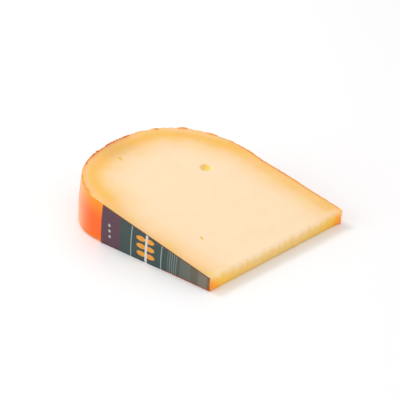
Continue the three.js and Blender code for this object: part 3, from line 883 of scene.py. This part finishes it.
def label_material(settings):
    """Offset-printed label paper, glued on and coated over: flat inks with a faint satin varnish."""
    material, tree, shader = new_material("printed_label_paper")
    place_out = add(tree, "ShaderNodeTexCoord").outputs["Object"]
    centred = add(
        tree, "ShaderNodeMapping", {"Vector": place_out, "Location": (-AXIS_X, 0.0, 0.0), "Scale": (1 / MM, 0.0, 1 / MM)}
    ).outputs["Vector"]
    radius = add(tree, "ShaderNodeVectorMath", {0: centred}, operation="LENGTH").outputs["Value"]
    split = add(tree, "ShaderNodeSeparateXYZ", {"Vector": centred})
    height = split.outputs["Z"]

    def band(value, low, high, soft=0.08):
        """1 where a value lies between two limits, with soft ends."""
        rise = add(tree, "ShaderNodeMapRange", {"Value": value, "From Min": low - soft, "From Max": low + soft})
        fall = add(
            tree, "ShaderNodeMapRange", {"Value": value, "From Min": high - soft, "From Max": high + soft, "To Min": 1.0, "To Max": 0.0}
        )
        return add(
            tree, "ShaderNodeMath", {0: rise.outputs["Result"], 1: fall.outputs["Result"]}, operation="MULTIPLY"
        ).outputs[0]

    def painted(under, mask, colour, strength=1.0):
        """A colour printed over what is there already."""
        share = add(tree, "ShaderNodeMath", {0: mask, 1: strength}, operation="MULTIPLY").outputs[0]
        over = add(tree, "ShaderNodeMix", {"Factor": share, "A": under, "B": (*colour, 1.0)}, data_type="RGBA")
        return over.outputs["Result"]

    def both(first, second, operation="MULTIPLY"):
        return add(tree, "ShaderNodeMath", {0: first, 1: second}, operation=operation).outputs[0]

    to_end = add(tree, "ShaderNodeMapRange", {"Value": radius, "From Min": 76.0, "From Max": 47.0}).outputs["Result"]
    print_colour = add(
        tree,
        "ShaderNodeMix",
        {"Factor": to_end, "A": (*settings.field, 1.0), "B": (*settings.field_end, 1.0)},
        data_type="RGBA",
    ).outputs["Result"]
    border_from = LABEL_RADIUS - settings.border_width / MM
    print_colour = painted(print_colour, band(radius, border_from, 200.0), settings.border)

    # Two pale rules frame a sprig of gold leaves, and dots stand in the border
    for ring in (81.5, 105.5):
        print_colour = painted(print_colour, band(radius, ring - 0.35, ring + 0.35), settings.rule, 0.75)
    for level in (3.4, 8.2, 13.0):
        for side in (-1, 1):
            leaf = add(
                tree,
                "ShaderNodeMapping",
                {
                    "Vector": centred,
                    "Location": (93.5 - side * 3.4, 0.0, -level - 1.4),
                },
                vector_type="POINT",
            ).outputs["Vector"]
            leaf = add(
                tree,
                "ShaderNodeMapping",
                {"Vector": leaf, "Rotation": (0.0, math.radians(side * 38), 0.0), "Scale": (0.27, 0.0, 0.62)},
                vector_type="POINT",
            ).outputs["Vector"]
            reach = add(tree, "ShaderNodeVectorMath", {0: leaf}, operation="LENGTH").outputs["Value"]
            print_colour = painted(print_colour, band(reach, -1.0, 1.0, 0.08), settings.gold)
    print_colour = painted(print_colour, band(radius, 92.6, 94.4), settings.bar)
    for level in (6.6, 10.2, 13.8):
        dot = add(
            tree,
            "ShaderNodeMapping",
            {"Vector": centred, "Location": (122.6, 0.0, -level)},
            vector_type="POINT",
        ).outputs["Vector"]
        reach = add(tree, "ShaderNodeVectorMath", {0: dot}, operation="LENGTH").outputs["Value"]
        print_colour = painted(print_colour, band(reach, -1.0, 0.95, 0.1), settings.rule)

    # Pinstripes 1.7 mm apart, then diagonal hatching
    comb = add(tree, "ShaderNodeMath", {0: radius, 1: 0.85}, operation="PINGPONG").outputs[0]
    fine = both(band(comb, -1.0, 0.22, 0.1), band(radius, 69.5, 76.5))
    print_colour = painted(print_colour, fine, settings.rule, 0.55)
    slanted = both(split.outputs["X"], height, "SUBTRACT")
    hatch = add(tree, "ShaderNodeMath", {0: slanted, 1: 0.8}, operation="PINGPONG").outputs[0]
    hatch = band(hatch, -1.0, 0.25, 0.12)
    for low, high, strength in ((58.5, 67.0, 0.3), (46.0, 52.5, 0.45)):
        print_colour = painted(print_colour, both(hatch, band(radius, low, high)), settings.rule, strength)
    # Painted shade: brown along the label's cut end beside the tip and along its edge at the upper cut, standing in for
    # the shade on these narrow edges
    print_colour = painted(print_colour, band(radius, 0.0, 45.3, 0.4), settings.cut_end_shade, 0.85)
    normal = (-math.sin(SLICE_ANGLE), 0.0, -math.cos(SLICE_ANGLE))
    below = add(tree, "ShaderNodeVectorMath", {0: centred, 1: normal}, operation="DOT_PRODUCT").outputs["Value"]
    print_colour = painted(print_colour, band(below, -5.0, 0.9, 0.3), settings.cut_edge_shade, 0.85)

    # The ink is a little uneven at the scale of the paper's fibres, about 2 mm and 0.3 mm
    fibre = add(tree, "ShaderNodeTexNoise", {"Vector": place_out, "Scale": 500.0, "Detail": 4.0}).outputs["Fac"]
    uneven = add(
        tree, "ShaderNodeMapRange", {"Value": fibre, "From Min": 0.3, "From Max": 0.7, "To Min": 0.94, "To Max": 1.06}
    ).outputs["Result"]
    inked = add(tree, "ShaderNodeVectorMath", {0: print_colour, "Scale": uneven}, operation="SCALE").outputs["Vector"]
    tree.links.new(inked, shader.inputs["Base Color"])
    shader.inputs["Roughness"].default_value = 0.55
    shader.inputs["Specular IOR Level"].default_value = 0.35
    bump = add(tree, "ShaderNodeBump", {"Height": fibre, "Strength": 0.2, "Distance": 0.05 * MM})
    tree.links.new(bump.outputs["Normal"], shader.inputs["Normal"])
    return material


class GOUDA_OT_label(bpy.types.Operator):
    """Build the printed strip of label on the wheel's flat side"""

    bl_idname = "gouda.label"
    bl_label = "Label"

    def execute(self, context):
        settings = context.scene.gouda_label
        columns, rows = 150, 26
        thickness = settings.thickness / MM
        inner = tip_radius(0.0, SLICE_ANGLE / 2) + 0.8
        vertices, faces = [], []
        back = SKIN_INSET + 0.02
        for layer in (0, 1):
            for row in range(rows + 1):
                for column in range(columns + 1):
                    radius = inner + (LABEL_RADIUS - inner) * column / columns
                    wander = noise.fractal(Vector((radius / 5.0, 3.0, 1.0)), 0.8, 2.0, 3)
                    low = 0.1 + 0.55 * (1 - float(smooth(radius, 70, 90))) + 0.08 * wander
                    high = radius * SLICE_ANGLE - 0.24 - 0.1 * float(smooth(radius, 95, 110)) - 0.06 * noise.fractal(Vector((radius / 3.0, 9.0, 4.0)), 0.8, 2.0, 3)
                    along = radius + 0.06 * noise.noise(Vector((row / 3.0, 5.0, 2.0))) * (column == columns)
                    share = row / rows
                    height = low + (high - low) * share
                    rim = min(column, columns - column, 2) / 2 * min(row, rows - row, 2) / 2
                    front = back - thickness * (0.55 + 0.45 * rim)
                    across = front if layer else back
                    vertices.append((along, across, height))
        stack = (rows + 1) * (columns + 1)
        for layer in (0, 1):
            for row in range(rows):
                for column in range(columns):
                    a = layer * stack + row * (columns + 1) + column
                    quad = (a, a + 1, a + columns + 2, a + columns + 1)
                    faces.append(quad if layer == 0 else quad[::-1])
        loop = [column for column in range(columns + 1)]
        loop += [row * (columns + 1) + columns for row in range(1, rows + 1)]
        loop += [rows * (columns + 1) + column for column in range(columns - 1, -1, -1)]
        loop += [row * (columns + 1) for row in range(rows - 1, 0, -1)]
        for a, b in zip(loop, loop[1:] + loop[:1]):
            faces.append((b, a, a + stack, b + stack))
        data = np.array(vertices)
        piece = mesh_object("label_strip", place(data[:, 0], data[:, 1], data[:, 2] / data[:, 0]), faces)
        piece.data.materials.append(label_material(settings))
        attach(piece, "root")
        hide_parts("label")
        return {"FINISHED"}


class GOUDA_OT_stage(bpy.types.Operator):
    """Lay the floor, hang the lights and set up the camera"""

    bl_idname = "gouda.stage"
    bl_label = "Stage"

    def execute(self, context):
        settings = context.scene.gouda_studio
        floor_half = 3.0
        floor = mesh_object(
            "studio_floor",
            [(-floor_half, -floor_half, 0), (floor_half, -floor_half, 0), (floor_half, floor_half, 0), (-floor_half, floor_half, 0)],
            [(0, 1, 2, 3)],
        )
        material, tree, shader = new_material("matte_studio_paper")
        place_out = add(tree, "ShaderNodeTexCoord").outputs["Object"]
        tooth = add(tree, "ShaderNodeTexNoise", {"Vector": place_out, "Scale": 900.0, "Detail": 2.0}).outputs["Fac"]
        bump = add(tree, "ShaderNodeBump", {"Height": tooth, "Strength": 0.1, "Distance": 0.05 * MM})
        tree.links.new(bump.outputs["Normal"], shader.inputs["Normal"])
        shader.inputs["Base Color"].default_value = (*settings.floor, 1.0)
        shader.inputs["Roughness"].default_value = 0.45
        shader.inputs["Specular IOR Level"].default_value = 0.5
        floor.data.materials.append(material)

        world = bpy.data.worlds.new("soft_even_light")
        world.use_nodes = True
        world.node_tree.nodes["Background"].inputs["Color"].default_value = (1.0, 1.0, 1.0, 1.0)
        world.node_tree.nodes["Background"].inputs["Strength"].default_value = settings.sky
        context.scene.world = world
        context.scene.view_settings.view_transform = "Standard"

        for name, power, size, stand in (
            ("key_softbox", settings.key, 0.45, (-0.82, -0.05, 0.92)),
            ("fill_softbox", settings.fill, 0.8, (-0.5, -1.0, 0.5)),
            ("low_softbox", settings.low, 0.8, (1.12, -0.3, 0.25)),
        ):
            light = bpy.data.lights.new(name, "AREA")
            light.shape = "DISK"
            light.size = size
            light.energy = power
            softbox = bpy.data.objects.new(name, light)
            softbox.location = stand
            softbox.rotation_euler = (-Vector(stand)).to_track_quat("-Z", "Y").to_euler()
            context.scene.collection.objects.link(softbox)

        target = Vector((-17.88, 22.63, 0.0)) * MM
        back = Vector((
            math.sin(settings.azimuth) * math.cos(settings.elevation),
            -math.cos(settings.azimuth) * math.cos(settings.elevation),
            math.sin(settings.elevation),
        ))
        data = bpy.data.cameras.new("photo_camera")
        data.lens = settings.lens
        data.sensor_width = 36.0
        data.clip_start, data.clip_end = 0.05, 20.0
        camera = bpy.data.objects.new("photo_camera", data)
        camera.location = target + back * settings.distance
        camera.rotation_euler = (-back).to_track_quat("-Z", "Y").to_euler()
        context.scene.collection.objects.link(camera)
        context.scene.camera = camera
        return {"FINISHED"}


class GOUDA_PT_panel(bpy.types.Panel):
    """The slice's operators and settings"""

    bl_label = "Gouda Slice"
    bl_idname = "GOUDA_PT_panel"
    bl_space_type = "VIEW_3D"
    bl_region_type = "UI"
    bl_category = "Gouda"

    def draw(self, context):
        for operator in OPERATORS:
            self.layout.operator(operator.bl_idname)
        for group in SETTINGS:
            box = self.layout.box()
            for name in SETTINGS[group].__annotations__:
                box.prop(getattr(context.scene, group), name)


SETTINGS = {
    "gouda_cheese": GoudaCheeseSettings,
    "gouda_label": GoudaLabelSettings,
    "gouda_studio": GoudaStudioSettings,
}
OPERATORS = (GOUDA_OT_cheese, GOUDA_OT_flakes, GOUDA_OT_label, GOUDA_OT_stage)


def register():
    for kind in (*SETTINGS.values(), *OPERATORS, GOUDA_PT_panel):
        bpy.utils.register_class(kind)
    for name, kind in SETTINGS.items():
        setattr(bpy.types.Scene, name, bpy.props.PointerProperty(type=kind))


def unregister():
    for name in SETTINGS:
        delattr(bpy.types.Scene, name)
    for kind in reversed((*SETTINGS.values(), *OPERATORS, GOUDA_PT_panel)):
        bpy.utils.unregister_class(kind)


def main():
    register()
    bpy.ops.gouda.cheese()
    bpy.ops.gouda.flakes()
    bpy.ops.gouda.label()
    bpy.ops.gouda.stage()
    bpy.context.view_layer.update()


if __name__ == "__main__":
    main()
